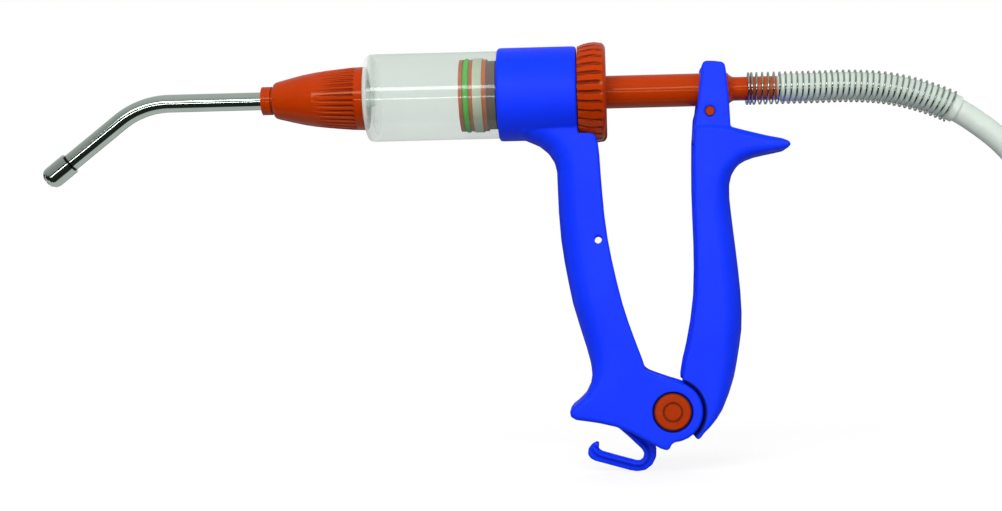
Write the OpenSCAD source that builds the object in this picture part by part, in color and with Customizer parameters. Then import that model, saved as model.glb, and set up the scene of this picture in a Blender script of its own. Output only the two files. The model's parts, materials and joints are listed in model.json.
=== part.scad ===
// Livestock drencher: a squeeze-lever dosing gun with a bent nozzle and a feed hose.
// Lengths in mm. X runs from the nozzle to the hose, Z is up, Y is across the grip.

/* [Barrel and housing] */
// Outside diameter of the clear barrel
barrel_od = 36.5; // [35.5:0.1:37.5]
// Bore of the barrel
barrel_bore = 31; // [30:0.1:31.6]
// Barrel length in front of the housing
barrel_show = 55; // [53:0.5:60]
// Thickness of the barrel's front wall
barrel_front_wall = 3.5; // [3:0.1:4.5]
// Outside diameter of the housing
housing_od = 39; // [38.6:0.1:42]
// Length of the housing
housing_len = 33; // [31:0.5:38]
// Diameter of the barrel's spigot in the housing
spigot_od = 34.6; // [34:0.1:35]

/* [Outlet] */
// Length of the nose cap's fluted body
nose_len = 38.3; // [37:0.1:44]
// Diameter of the nose cap at the barrel
nose_od = 26.5; // [26:0.1:32]
// Number of flutes round the nose cap
flute_count = 36; // [24:1:40]
// Depth of a flute at its rear end
flute_depth = 0.8; // [0.4:0.05:0.9]
// Diameter of the collar in front of the nose cap
collar_od = 11.8; // [11:0.1:13]
// Length of the collar
collar_len = 5.2; // [4:0.1:8]
// Outside diameter of the nozzle tube
nozzle_od = 7.4; // [7:0.1:8]
// Bore of the nozzle tube
nozzle_bore = 5.4; // [4.6:0.1:5.8]
// Collar to the corner of the nozzle's bend
nozzle_straight = 51; // [40:0.5:80]
// Corner of the bend to the end of the tip
nozzle_reach = 51; // [40:0.5:70]
// Angle of the nozzle's bend
nozzle_bend = 38; // [20:1:50]
// Radius of the nozzle's bend
nozzle_bend_r = 34; // [25:1:40]
// Diameter of the nozzle tip
tip_od = 9.2; // [8.8:0.1:11]
// Length of the nozzle tip
tip_len = 12; // [10:0.5:16]

/* [Piston and rod] */
// Stroke of the piston
stroke = 33.8; // [28:0.1:34.5]
// Diameter of the piston's flanges
flange_od = 30; // [29:0.1:30.4]
// Thickness of the O-ring's cord
o_ring_cord = 2.65; // [2.2:0.05:2.9]
// Width of the guide ring
guide_width = 3.8; // [3:0.1:5]
// Outside diameter of the plunger rod
rod_od = 13.7; // [13:0.1:14]
// Bore of the plunger rod
rod_bore = 6; // [5:0.1:6.6]
// Housing's rear face to the end of the plain rod
rod_tail = 63; // [60:0.5:66]
// Diameter of the hose tail's neck
neck_od = 9.9; // [9.4:0.1:10.4]
// Largest diameter of a hose barb
barb_od = 8.1; // [7.6:0.05:8.2]

/* [Dose ring] */
// Diameter over the lobes
ring_od = 42; // [41.6:0.1:43]
// Length of the ring
ring_len = 12.2; // [11:0.1:14]
// Number of lobes
lobe_count = 32; // [24:1:36]
// Outside diameter of the stop sleeve
stop_od = 29; // [27:0.1:29.4]

/* [Grip and lever] */
// Barrel axis down to the lever pivot
pivot_drop = 134; // [130:0.5:140]
// Housing's rear face back to the lever pivot
pivot_back = 36.2; // [35:0.1:38]
// Width of the grip and the lever
grip_width = 24; // [23.6:0.1:27]
// Width of the lever's fork
fork_width = 22; // [21.6:0.1:23]
// Width of the hollow in the grip and the lever
hollow_width = 16.6; // [16:0.1:17]
// Diameter of the pivot shaft
pivot_od = 6; // [5:0.1:6.4]
// Diameter of the pivot's head
pivot_head_od = 15.6; // [13:0.1:17]
// Diameter of the lever's cross pin
cross_pin_od = 4; // [3.4:0.1:4.2]
// Diameter of the lanyard hole
lanyard_od = 3.2; // [2.6:0.1:4]
// Thickness of the hanging hook's plate
hook_plate = 2.6; // [2.4:0.1:3.4]
// Thickness of the rim along the hook's inner edge
hook_bead = 2.6; // [2.2:0.1:3]
// Width of that rim
hook_rim = 6.4; // [5:0.1:8]

/* [Hose] */
// Outside diameter of the hose
hose_od = 10; // [9.6:0.05:10.1]
// Bore of the hose
hose_bore = 6.6; // [6:0.1:7]
// Outside diameter of the sleeve in the guard
sleeve_od = 11.2; // [10.9:0.05:11.3]
// Wire of the hose guard
guard_wire = 0.8; // [0.6:0.05:0.9]
// Pitch of the guard's coils
guard_pitch = 2.42; // [2.2:0.01:3]

/* [Hidden] */

// Common clearances and the overrun of every cut
run_gap = 0.06;
seat_gap = 0.05;
body_gap = 0.35;
overrun = 20;
turn_fn = 72;

// Grip point: the part's origin
grip_back = 3;
grip_drop = 75;

// Outline tables of the grip and the lever count in parts of the ear's radius. The top keeps its place
// at the barrel, the bottom keeps its place at the pivot, and the grip between stretches with the drop.
ear_r = 12.6;
ear_shares = 12.6;
drop_shares = 134;
top_shares = 46;
neck_shares = 112;
back_shares = 36.2;
ear_part = ear_r / ear_shares;
neck_drop = pivot_drop - (drop_shares - neck_shares) * ear_part;

// Places along the barrel's axis
barrel_front = -housing_len - barrel_show;
chamber_front = barrel_front + barrel_front_wall;
end_gap = 2;
piston_front = chamber_front + end_gap + stroke;
spigot_end_gap = 6.5;
rim_len = 2;
housing_round = 1.2;
spigot_r = spigot_od / 2;
spigot_clear = 0.08;

// Outlet boss, nose cap and outlet valve
boss_r = 8;
boss_len = 12;
boss_bore_r = 3.5;
barrel_round = 2.2;
nose_gap = 0.5;
nose_rear = barrel_front - nose_gap;
nose_front = nose_rear - nose_len;
collar_front = nose_front - collar_len;
collar_neck_r = 5;
valve_room_r = 6.2;
valve_room_len = 11.4;
nose_wall_len = 5.4;
nose_profile_shares = [[0, 0.53], [0.015, 0.57], [0.055, 0.605], [0.185, 0.7], [0.317, 0.79],
  [0.449, 0.856], [0.58, 0.905], [0.713, 0.945], [0.845, 0.98], [1, 1]];
flute_front_share = 0.45;
flute_rear_share = 0.9;
flute_r = 0.8;
seal_cord = 1.8;
seal_r = 9.7;
seal_groove = 1.7;
nozzle_sides = 24;
nozzle_bend_steps = 10;
outlet_disc_r = 5.2;
outlet_disc = 1.7;
outlet_stem_r = 1.6;
outlet_stem = 4.5;
outlet_wire = 0.7;
outlet_coil_r = 4.2;
outlet_turns = 5;

// Piston stack, from the front
flange_front = 1.5;
groove_len = 2.8;
flange_mid = 1.4;
flange_rear = 1.8;
groove_r = barrel_bore / 2 - o_ring_cord - 2 * run_gap;
guide_gap = 0.1;
hub_r = 14.3;
hub_len = 6.4;
hub_neck_r = 12.8;
hub_neck = 1.2;
hub_flange = 1.6;
piston_bore_r = 6.6;
cage_len = 1.8;
cage_hole_r = 1.3;
cage_hole_place = 4;
cage_holes = 6;
inlet_disc_r = 5.2;
inlet_disc = 1.6;
inlet_stem_r = 1.5;
inlet_stem = 2.2;
inlet_wire = 0.6;
inlet_coil_r = 3.4;
inlet_turns = 3;
guide_front = piston_front + flange_front + groove_len + flange_mid;
hub_front = guide_front + guide_width + flange_rear;
hub_rear = hub_front + hub_len;
rod_spigot_len = 10;
rod_front = hub_rear - rod_spigot_len;
rod_spigot_r = 6.2;
rod_r = rod_od / 2;

// Rod's lug, key line and hose tail
lug_width = 6;
lug_ahead = 4.3;
lug_behind = 5.2;
lug_below = 4.6;
slot_up = 1.6;
slot_down = 1.6;
key_width = 1.2;
key_height = 0.45;
key_front = -24;
key_rear = 15;
flare_len = 3;
tail_len = 21;
neck_len = 9.7;
barb_root_r = 3.2;
barb_tip_r = 3.5;
barb_len = 3.9;
tail_bore_r = 2.2;

// Dose ring and stop sleeve
ring_front_r_share = 0.92;
ring_round = 3;
ring_back_wall = 2;
ring_neck_r = 15.5;
ring_bead_r = 16.5;
ring_bead = 2.5;
ring_rod_hole_r = 7.7;
ring_dish_r = 17;
ring_dish = 0.8;
groove_cut_r = 0.9;
groove_up = 0.15;
groove_tilt = 10;
groove_end_share = 0.8;
ring_bulge_shares = [[0.25, 0.6], [0.45, 0.9], [0.62, 1]];
stop_front = hub_rear + body_gap;
stop_rear = 1;
stop_bore_r = 7.2;

// Pivot, fork and springs
ear_from = -88;
ear_to = 75;
seat_gap_r = 0.85;
seat_r = ear_r + seat_gap_r;
tongue_r = 11;
tongue_gap = 10;
fin_width = (hollow_width - 2 * body_gap - tongue_gap) / 2;
head_len = 1.6;
head_sink = 1.2;
head_room = 0.55;
head_groove_r = 4.2;
head_groove = 0.9;
head_groove_deep = 0.8;
head_half = grip_width / 2 - head_sink;
cap_pin_gap = 0.05;
cross_pin_lead = 18.6;
cross_pin_back = pivot_back + cross_pin_lead;
cross_pin_drop = 10.05;
cross_pin_proud = 0.3;
fork_floor = 18.5;
lanyard_back = 7.2;
lanyard_drop = 62;
spring_wire = 1.4;
spring_coil_r = 5.3;
spring_pitch = 1.95;
spring_turns = 4;

// Hose guard, sleeve and hank
guard_room = 0.1;
guard_tight_pitch = 1.35;
guard_tight_turns = 2;
guard_rings = 8;
wire_sides = 6;
hose_sides = 10;
sleeve_wall = 0.5;
hank_rings = 24;
strand_pitch = 10.65;
hank_left = 236;
hank_right = 305;
hank_low = -153.6;
hank_near = -30;
hank_far = 51.4;
hank_end = 22;
ramp_steps = 4;
tie_wall = 0.6;
tie_width = 5;
tie_back = 276;
// Hose route: from the rod's neck, through the guard and down to the stowed hank
hose_route = [[56, 0, 0], [70.6, 0, 0], [85.3, 0, 0], [100, 0, 0], [114.7, 0, 0], [129.3, 0, -1.2],
  [143.5, 0, -4.6], [157, 0, -10], [168.5, 0, -17.5], [178.5, 0, -26], [187.5, 0, -37],
  [194, -1, -50], [198.5, -4, -64], [201.5, -9, -79], [203.4, -14.4, -93], [206, -19, -106],
  [212.4, -22.7, -120.2], [223.5, -24.5, -132.4], [238, -24.7, -140.2], [254.3, -24.7, -142.95],
  [270, -24.7, -142.95]];
hose_start_share = 0.16;
guard_start_share = 0.02;
guard_end_share = 6;
sleeve_start_share = 1;
hose_steps = 3;

// Grip outline, from the housing down the front, round the ear and up the rear: x, z, edge rounding
grip_shares = [[-26, -4, 1], [-26, -17.5, 6], [-21, -19.9, 8], [-16.2, -22.2, 9], [-12.6, -25.3, 10],
  [-10.2, -29.2, 10], [-9.3, -33, 10], [-9.2, -40, 10], [-9, -50, 10], [-8.3, -61.6, 10],
  [-7.1, -71, 10], [-5.6, -80, 10], [-4, -88.6, 10], [-1.4, -98, 10], [1.2, -107, 9],
  [2.8, -113.5, 8], [3.3, -118, 6], [2.6, -122, 4.5], [0.6, -126, 3.5], [-2.4, -129, 2.5],
  [-4.9, -130.9, 2], [-6.3, -132.8, 1.8], [-6, -135, 1.8], [-3.8, -136.4, 1.8], [0.8, -137.1, 1.8],
  [6, -138, 1.5], [12.5, -139.6, 1.4], [19.4, -142.5, 1.2], [25.5, -146, 1], [31, -149.1, 0.9],
  [33.3, -149.8, 0.8], [34.6, -149.2, 0.8], [35.3, -147.6, 0.8]];
grip_rear_shares = [[38.5, -121.5, 1], [36.2, -120.8, 1], [33.5, -119.8, 1], [30.1, -118.5, 1.2],
  [27.2, -117.3, 1.2], [25.5, -115.9, 1.2],
  [24.9, -114.2, 1.2], [24.4, -112.3, 1.2], [21.6, -104.5, 1.2], [18.9, -96.5, 1.2],
  [16.6, -88.6, 1.2], [14.4, -79, 1.2], [12.6, -70, 1.2], [11.2, -61.6, 1.2], [10.1, -52, 1.2],
  [9.4, -42, 1.2], [8.9, -33, 1.2], [8.6, -26, 1.2], [8.2, -22, 1.2], [7.4, -19.2, 1.2],
  [6.2, -17.6, 1.2], [6.2, -4, 1]];
grip_hollow_shares = [[30, -26], [-3.6, -26], [-3.6, -40], [-2.7, -61.6], [1.6, -88.6], [6.6, -107],
  [8.9, -118], [8.2, -127], [9.5, -141], [12, -153], [60, -153], [60, -100], [40, -60]];
// Hook plate, and the inner edge that carries its bead
hook_shares = [[5, -127], [5, -137], [8.6, -136.9], [12.4, -139.9], [17, -144], [21.3, -148.2],
  [23.4, -150.3], [24.2, -152], [23.7, -153.8], [22.4, -154.8], [20.8, -154.7], [12, -152.1],
  [6.6, -150.4], [5.2, -149.4], [5.4, -147.8], [5.4, -146.7], [4.4, -146.3], [2.4, -147.4],
  [0.8, -149.4], [0.5, -151.6], [1.4, -153.3], [3.3, -154.5], [10, -156.5], [18.1, -158.9],
  [21, -159.4], [24.5, -159], [27.5, -156.8], [29.2, -153.5], [29.4, -150], [28, -145.5],
  [25.6, -141.2], [22.2, -136.4], [18, -131.4], [12, -128.5]];
bead_shares = [[7.6, -134.6], [12.6, -138.4], [18, -143.2], [22.4, -147.4], [24.7, -150],
  [25.4, -152.2], [24.7, -154.6], [22.8, -156], [20.4, -156], [12, -153.6], [7, -152.1],
  [4.9, -151.2], [3.7, -150.1], [3.2, -148.6]];
// Lever outline up the front, round the thumb spur and down the back, and its hollow
lever_shares = [[40.6, -121.3, 0.5], [40.6, -119, 0.9], [41.7, -113, 1.2], [43.4, -106.6, 1.2],
  [45.4, -97, 1.2], [46.9, -86.5, 1.2], [47.5, -75, 1.2], [47.6, -64, 1.2], [47.4, -52.9, 1.2],
  [47.3, -42, 1.2], [47.5, -32, 1.2], [47.8, -21.8, 1.2], [48.3, -16.4, 1.2], [55, -16, 1.2],
  [63.4, -16.6, 2], [70, -18.4, 3], [78, -20.5, 3], [84.5, -22, 1.9], [87.2, -23.2, 1.4],
  [88, -24.6, 1.2], [86.8, -26, 1.4], [83, -26.8, 1.9], [78.3, -27.7, 3], [73.8, -28.7, 4],
  [70.2, -30, 5], [67.2, -31.7, 5.5], [65.1, -33.8, 6], [63.4, -36.6, 7], [62.5, -40.5, 8],
  [62.6, -46, 9], [63.2, -53, 10], [63.9, -60, 10], [64.6, -66.8, 10], [65.5, -76, 10],
  [66.2, -85, 10], [66.5, -93.7, 10], [66.2, -101, 10], [65.3, -107.1, 10], [63.9, -114.5, 9],
  [62.4, -120.6, 8], [60, -127.5, 6.5], [57, -133.9, 4.5], [54.4, -137.6, 3], [51.8, -140.5, 1.8],
  [49.1, -143, 1.1], [47.5, -145, 0.9], [46.4, -145.7, 0.6], [45.5, -145, 0.6]];
fork_shares = [[50, -26, 1], [48.2, -17, 1], [48.6, -12, 1.2], [49.4, -9.3, 1.2], [50.4, -2, 1.2],
  [51.4, 5, 1.2], [51.9, 9, 1], [52.6, 10.4, 0.8], [53.8, 10.9, 0.6], [57, 10.7, 0.6],
  [60.2, 10.3, 0.6], [61.3, 9.6, 0.8], [61.8, 8, 1], [62.3, 3, 1.2], [62.8, -3, 1.2],
  [63.1, -10, 1.2], [63.3, -17, 1.2], [62, -26, 1]];
lever_hollow_shares = [[30, -22], [57.5, -22], [57, -30], [57, -40], [58.2, -60], [60, -80],
  [60.6, -94], [59.8, -106], [57.6, -117], [55, -124.5], [47, -128], [36, -128], [36, -100]];
tongue_shares = [[42.5, -126.5], [50, -126.2], [57, -125.5], [56.5, -131], [52.5, -138], [46.5, -143.6],
  [38, -144.5], [36.2, -134]];
fin_shares = [[42.5, -127], [41.2, -122.4], [41.6, -120], [47, -118.8], [56, -118], [57, -126.5]];
front_leg_shares = [[31.3, -131.6], [25, -126.5], [17, -119.6], [9.6, -113.4]];
back_leg_shares = [[41.1, -131.6], [46, -124.8], [51.6, -116.5], [56.6, -108.8]];
hook_level_shares = [-1, -0.75, 0.75, 1];
fork_level_shares = [-1, -0.97, -0.9, 0.9, 0.97, 1];
level_shares = [-1, -0.975, -0.93, -0.865, -0.77, -0.63, -0.43, -0.16, 0.16, 0.43, 0.63, 0.77, 0.865,
  0.93, 0.975, 1];

blue = [0.12, 0.22, 0.95];
orange = [0.78, 0.27, 0.05];
milky = [0.84, 0.89, 0.86, 0.6];
steel = [0.75, 0.77, 0.8];
pale = [0.86, 0.91, 0.87];

// Helpers
module place() {
  translate([-grip_back, 0, grip_drop]) children();
}
module turn(profile) {
  rotate([0, 90, 0]) rotate_extrude($fn = turn_fn) polygon(profile);
}
module rod_x(r, from, to) {
  translate([from, 0, 0]) rotate([0, 90, 0]) cylinder(r = r, h = to - from, $fn = turn_fn);
}
module rod_y(r, x, z, from, to) {
  translate([x, from, z]) rotate([-90, 0, 0]) cylinder(r = r, h = to - from, $fn = turn_fn);
}
module slab(points, width) {
  translate([0, width / 2, 0]) rotate([90, 0, 0]) linear_extrude(width) polygon(points);
}
function arc(c, r, a, b, n) = [for (i = [0:n]) c + r * [cos(a + (b - a) * i / n),
  sin(a + (b - a) * i / n)]];
function part_z(z) = z > -top_shares ? z * ear_part
  : z < -neck_shares ? (z + drop_shares) * ear_part - pivot_drop
  : -top_shares * ear_part
    + (z + top_shares) / (neck_shares - top_shares) * (neck_drop - top_shares * ear_part);
function lean(z) = min(1, max(0, -z / neck_shares));
function grip_xz(t) = [for (p = t) [p[0] * ear_part + (pivot_back - back_shares * ear_part) * lean(p[1]),
  part_z(p[1])]];
function lever_xz(t) = [for (p = t) [(p[0] - back_shares) * ear_part + pivot_back, part_z(p[1])]];
function parts_round(t) = [for (p = t) p[2] * ear_part];
function flip(t) = [for (i = [len(t) - 1:-1:0]) t[i]];
function unit(v) = v / norm(v);

// Triangles that fill an outline, one corner cut off at a time
function bend_of(a, b, c) = (b[0] - a[0]) * (c[1] - a[1]) - (b[1] - a[1]) * (c[0] - a[0]);
function holds(q, a, b, c) = bend_of(a, b, q) >= 0 && bend_of(b, c, q) >= 0 && bend_of(c, a, q) >= 0;
function is_ear(p, v, i) =
  let (n = len(v), a = p[v[(i + n - 1) % n]], b = p[v[i]], c = p[v[(i + 1) % n]])
  bend_of(a, b, c) > 0
  && len([for (k = v) if (p[k] != a && p[k] != b && p[k] != c && holds(p[k], a, b, c)) k]) == 0;
function ear_at(p, v, i) = i >= len(v) || is_ear(p, v, i) ? i : ear_at(p, v, i + 1);
function ears(p, v) = len(v) < 4 ? [v] : let (n = len(v), k = ear_at(p, v, 0))
  concat([[v[(k + n - 1) % n], v[k], v[(k + 1) % n]]], ears(p, [for (i = [0:n - 1]) if (i != k) v[i]]));

// A plate whose edge is rounded point by point: each level across Y draws the outline in
function draw_in(r, y, half) = r - sqrt(max(0, r * r - pow(max(0, abs(y) - half + r), 2)));
function inward(p, i) = let (n = len(p), d = unit(p[(i + 1) % n] - p[(i + n - 1) % n])) [-d[1], d[0]];
module pillow(p, r, half, levels = level_shares) {
  n = len(p);
  m = len(levels);
  pts = [for (s = levels) for (i = [0:n - 1])
    let (q = p[i] + inward(p, i) * draw_in(r[i], s * half, half)) [q[0], s * half, q[1]]];
  sides = [for (k = [0:m - 2]) for (i = [0:n - 1]) let (j = (i + 1) % n)
    each [[k * n + i, k * n + j, k * n + n + j], [k * n + i, k * n + n + j, k * n + n + i]]];
  rim = [for (i = [0:n - 1]) let (q = pts[i]) [q[0], q[2]]];
  near = ears(rim, [for (i = [0:n - 1]) i]);
  lids = [for (f = near) each [[f[2], f[1], f[0]], [for (v = f) v + (m - 1) * n]]];
  polyhedron(pts, concat(sides, lids));
}

// A tube of flat facets along a path, hollow when a bore is given
function tangent(p, i) = unit(p[min(i + 1, len(p) - 1)] - p[max(i - 1, 0)]);
function side_of(t, up) = unit(cross(t, abs(t * up) > 0.98 ? [0, 1, 0] : up));
function ring_pts(p, i, r, n, up, wide = 1) = let (t = tangent(p, i), a = side_of(t, up), b = cross(a, t))
  [for (k = [0:n - 1]) p[i] + r * (a * cos(360 * k / n) + b * wide * sin(360 * k / n))];
function skin(rows, n, o, out) = [for (i = [0:rows - 2]) for (k = [0:n - 1])
  let (a = o + i * n + k, b = o + i * n + (k + 1) % n, c = a + n, d = b + n)
  each out ? [[a, b, d], [a, d, c]] : [[a, d, b], [a, c, d]]];
module tube(p, r, n, bore_r = 0, up = [0, 1, 0], wide_share = 1) {
  m = len(p);
  outer = [for (i = [0:m - 1]) each ring_pts(p, i, r, n, up, wide_share)];
  inner = bore_r > 0 ? [for (i = [0:m - 1]) each ring_pts(p, i, bore_r, n, up)] : [];
  q = m * n;
  e = (m - 1) * n;
  lids = bore_r > 0
    ? [for (k = [0:n - 1]) let (j = (k + 1) % n) each [[k, q + j, j], [k, q + k, q + j],
        [e + k, e + j, q + e + j], [e + k, q + e + j, q + e + k]]]
    : [for (k = [1:n - 2]) each [[0, k + 1, k], [e, e + k, e + k + 1]]];
  walls = bore_r > 0 ? skin(m, n, q, false) : [];
  polyhedron(concat(outer, inner), concat(skin(m, n, 0, true), walls, lids));
}

// Smooth place on the hose route
function spline(q, u) = let (i = min(max(floor(u), 0), len(q) - 4), t = u - i, a = q[i], b = q[i + 1],
  c = q[i + 2], d = q[i + 3])
  b + t / 2 * (c - a + t * (2 * a - 5 * b + 4 * c - d + t * (3 * b - a - 3 * c + d)));
function hose_at(u) = spline(hose_route, u);
function hose_dir(u) = unit(hose_at(u + 0.02) - hose_at(u - 0.02));
hose_last = len(hose_route) - 3;
function steps(a, b, n) = [for (i = [0:n]) a + (b - a) * i / n];

// Least distance between rings of a tube that are not neighbours, less its thickness
function self_gap(p, near, thick) = min([for (i = [0:len(p) - 1]) for (j = [i + near:len(p) - 1])
  norm(p[i] - p[j])]) - thick;

module front_handle() {
  ear = arc([pivot_back, -pivot_drop], ear_r, ear_from, ear_to, 12);
  outline = concat(grip_xz(grip_shares), ear, grip_xz(grip_rear_shares));
  edge = concat(parts_round(grip_shares), [for (p = ear) parts_round(grip_shares)[0]],
    parts_round(grip_rear_shares));
  hr = housing_od / 2;
  color(blue) place() {
    difference() {
      union() {
        pillow(outline, edge, grip_width / 2);
        turn(concat([[0, -housing_len]], arc([hr - housing_round, -housing_len + housing_round],
          housing_round, -90, 0, 4),
          arc([hr - housing_round, -housing_round], housing_round, 0, 90, 4), [[0, 0]]));
      }
      rod_x(spigot_r + spigot_clear, -housing_len - overrun, -rim_len);
      rod_x(ring_neck_r + body_gap, -housing_len, overrun);
      rod_x(ring_od / 2 + body_gap, 0, ring_len + overrun);
      slab(grip_xz(grip_hollow_shares), hollow_width);
      rod_y(pivot_od / 2 + run_gap, pivot_back, -pivot_drop, -grip_width, grip_width);
      rod_y(pivot_head_od / 2 + head_room, pivot_back, -pivot_drop, -grip_width, -head_half);
      rod_y(pivot_head_od / 2 + head_room, pivot_back, -pivot_drop, head_half, grip_width);
      rod_y(lanyard_od / 2, lanyard_back, -lanyard_drop, -grip_width, grip_width);
    }
    pillow(grip_xz(hook_shares), [for (p = hook_shares) hook_plate / 6], hook_plate / 2,
      hook_level_shares);
    tube([for (p = grip_xz(bead_shares)) [p[0], 0, p[1]]], hook_bead / 2, hose_sides,
      wide_share = hook_rim / hook_bead);
  }
}

module lever() {
  seat = arc([pivot_back, -pivot_drop], seat_r, -50, 66, 8);
  outline = flip(concat(lever_xz(lever_shares), seat));
  edge = flip(concat(parts_round(lever_shares), [for (p = seat) parts_round(lever_shares)[0]]));
  color(blue) place() difference() {
    union() {
      difference() {
        pillow(outline, edge, grip_width / 2);
        slab(lever_xz(lever_hollow_shares), hollow_width);
      }
      pillow(flip(lever_xz(fork_shares)), flip(parts_round(fork_shares)), fork_width / 2,
        fork_level_shares);
      difference() {
        union() {
          rod_y(tongue_r, pivot_back, -pivot_drop, -hollow_width / 2 + body_gap,
            hollow_width / 2 - body_gap);
          slab(lever_xz(tongue_shares), hollow_width - 2 * body_gap);
          for (side = [-1, 1]) translate([0, side * (tongue_gap + fin_width) / 2, 0])
            slab(lever_xz(fin_shares), fin_width);
        }
        rod_y(seat_r - body_gap, pivot_back, -pivot_drop, -tongue_gap / 2, tongue_gap / 2);
      }
    }
    translate([rod_tail - overrun, -rod_r - body_gap, -fork_floor]) cube([2 * overrun,
      rod_od + 2 * body_gap, 2 * overrun]);
    rod_y(pivot_od / 2 + run_gap, pivot_back, -pivot_drop, -grip_width, grip_width);
    rod_y(cross_pin_od / 2 + seat_gap, cross_pin_back, -cross_pin_drop, -grip_width, grip_width);
  }
}

module lever_pin() {
  color(orange) place() rod_y(cross_pin_od / 2, cross_pin_back, -cross_pin_drop,
    -fork_width / 2 - cross_pin_proud,
    fork_width / 2 + cross_pin_proud);
}

module pivot_pin() {
  color(orange) place() translate([pivot_back, 0, -pivot_drop]) rotate([-90, 0, 0])
    rotate_extrude($fn = turn_fn)
    polygon([[0, -head_half - head_len], [head_groove_r - head_groove, -head_half - head_len],
      [head_groove_r - head_groove, -head_half - head_len + head_groove_deep],
      [head_groove_r, -head_half - head_len + head_groove_deep], [head_groove_r,
        -head_half - head_len],
      [pivot_head_od / 2 - head_len / 2, -head_half - head_len],
      [pivot_head_od / 2, -head_half - head_len / 2], [pivot_head_od / 2,
        -head_half - seat_gap],
      [pivot_od / 2, -head_half - seat_gap], [pivot_od / 2, head_half + head_len / 2],
      [0, head_half + head_len / 2]]);
}

module pivot_cap() {
  bore = pivot_od / 2 + cap_pin_gap;
  color(orange) place() translate([pivot_back, 0, -pivot_drop]) rotate([-90, 0, 0])
    rotate_extrude($fn = turn_fn)
    polygon([[bore, head_half + seat_gap], [pivot_head_od / 2, head_half + seat_gap],
      [pivot_head_od / 2, head_half + head_len / 2], [pivot_head_od / 2 - head_len / 2,
        head_half + head_len],
      [0, head_half + head_len], [0, head_half + head_len / 2 + seat_gap],
      [bore, head_half + head_len / 2 + seat_gap]]);
}

// One wire: front leg, coil round the pivot, back leg
coil_half = spring_pitch * spring_turns / 2;
return_path = concat(
  [for (p = flip(grip_xz(front_leg_shares))) [p[0], -coil_half, p[1]]],
  [for (i = [0:guard_rings * (spring_turns - 1) + 1]) let (a = 190 - 360 * (i + 1.5) / guard_rings)
    [pivot_back + spring_coil_r * cos(a), -coil_half + spring_pitch * (i + 1.5) / guard_rings,
      -pivot_drop + spring_coil_r * sin(a)]],
  [for (p = lever_xz(back_leg_shares)) [p[0], coil_half, p[1]]]);
echo(return_spring_gap = self_gap(return_path, guard_rings - 2, spring_wire));
module return_spring() {
  color(steel) place() tube(return_path, spring_wire / 2, wire_sides);
}

module barrel() {
  r = barrel_od / 2;
  color(milky) place() difference() {
    turn(concat([[0, barrel_front - boss_len], [boss_r, barrel_front - boss_len], [boss_r,
      barrel_front]],
      arc([r - barrel_round, barrel_front + barrel_round], barrel_round, -90, 0, 4),
      [[r, -housing_len - body_gap], [spigot_r, -housing_len - body_gap], [spigot_r, -spigot_end_gap],
        [0, -spigot_end_gap]]));
    rod_x(barrel_bore / 2, chamber_front, overrun);
    rod_x(boss_bore_r, barrel_front - boss_len - overrun, chamber_front + overrun);
  }
}

room_rear = barrel_front - boss_len - nose_gap;
room_front = room_rear - valve_room_len;
socket_end = room_front - nose_wall_len;
module nose_cap() {
  r = nose_od / 2;
  color(orange) place() difference() {
    turn(concat([[0, collar_front], [collar_od / 2, collar_front], [collar_od / 2,
      nose_front - collar_len / 4],
      [collar_neck_r, nose_front - collar_len / 4], [collar_neck_r, nose_front]],
      [for (s = nose_profile_shares) [r * s[1], nose_front + nose_len * s[0]]], [[0, nose_rear]]));
    rod_x(boss_r + seat_gap, room_rear, nose_rear + overrun);
    rod_x(valve_room_r, room_front, room_rear + overrun);
    rod_x(nozzle_bore / 2, socket_end - overrun, room_front + overrun);
    rod_x(nozzle_od / 2 + seat_gap, collar_front - overrun, socket_end);
    turn([[seal_r - seal_cord / 2 - seat_gap, nose_rear - seal_groove],
      [seal_r + seal_cord / 2 + seat_gap, nose_rear - seal_groove],
      [seal_r + seal_cord / 2 + seat_gap, nose_rear + overrun], [seal_r - seal_cord / 2 - seat_gap,
        nose_rear + overrun]]);
    for (i = [0:flute_count - 1]) rotate([360 * i / flute_count, 0, 0]) flute();
  }
}
function nose_r(t) = nose_od / 2 * lookup(t, nose_profile_shares);
module flute() {
  a = [nose_front + nose_len * flute_front_share, 0, nose_r(flute_front_share) + flute_r];
  b = [nose_front + nose_len * flute_rear_share, 0, nose_r(flute_rear_share) + flute_r - flute_depth];
  translate(a) rotate([0, 90 - atan2(b[2] - a[2], b[0] - a[0]), 0]) cylinder(r = flute_r,
    h = norm(b - a), $fn = turn_fn);
}

module nose_seal() {
  color("black") place() translate([nose_rear - seal_groove + seal_cord / 2 + seat_gap, 0, 0])
    rotate([0, 90, 0])
    rotate_extrude($fn = turn_fn) translate([seal_r, 0]) circle(r = seal_cord / 2, $fn = turn_fn);
}

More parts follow.
